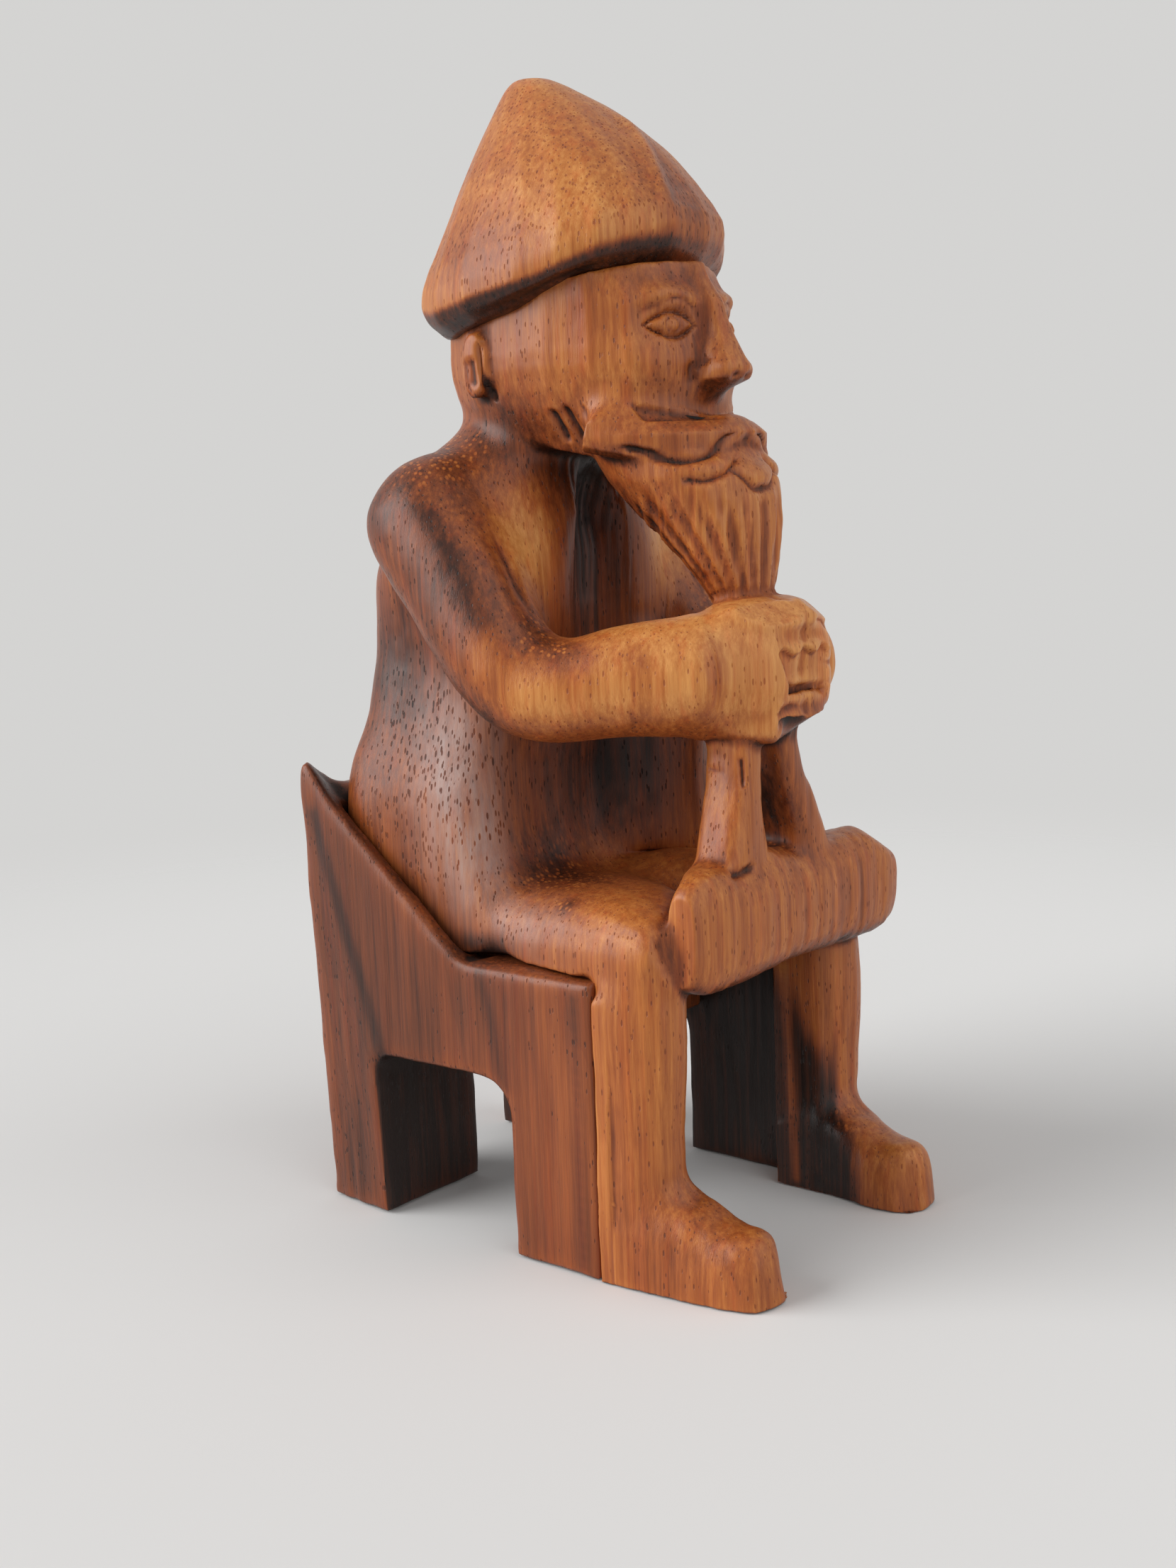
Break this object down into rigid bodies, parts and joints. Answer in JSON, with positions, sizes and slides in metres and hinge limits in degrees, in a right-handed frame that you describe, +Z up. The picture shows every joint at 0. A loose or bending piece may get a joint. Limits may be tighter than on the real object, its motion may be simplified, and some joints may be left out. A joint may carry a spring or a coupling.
{
  "type": "carved norse god statue",
  "caption": "Carved hardwood figure of a bearded god in a pointed cap, seated on a block chair, hands clasping a forked beard that ends in a hammer across its knees.",
  "frame": {"origin": "on the ground, in the middle of the figure's width and depth", "axes": "+Z up, the figure faces -Y, so its right side is at -X"},
  "size_m": [0.075, 0.101, 0.2102],
  "materials": {
    "golden_wood": "oiled, satin",
    "russet_wood": "oiled, satin",
    "dark_wood": "oiled, satin"
  },
  "bodies": {
    "root": {"chair_right_side": "dark_wood", "chair_left_side": "dark_wood", "chair_back": "dark_wood", "chair_seat": "dark_wood", "torso": "dark_wood", "head": "russet_wood", "cap": "golden_wood", "right_upper_arm": "russet_wood", "left_upper_arm": "russet_wood", "right_forearm": "russet_wood", "left_forearm": "russet_wood", "right_hand": "golden_wood", "left_hand": "golden_wood", "right_thigh": "russet_wood", "left_thigh": "russet_wood", "right_shin": "golden_wood", "left_shin": "golden_wood", "right_foot": "golden_wood", "left_foot": "golden_wood", "right_moustache": "golden_wood", "left_moustache": "golden_wood", "beard": "golden_wood", "right_strand": "golden_wood", "left_strand": "golden_wood", "hammer_head": "golden_wood"}
  },
  "joints": []
}
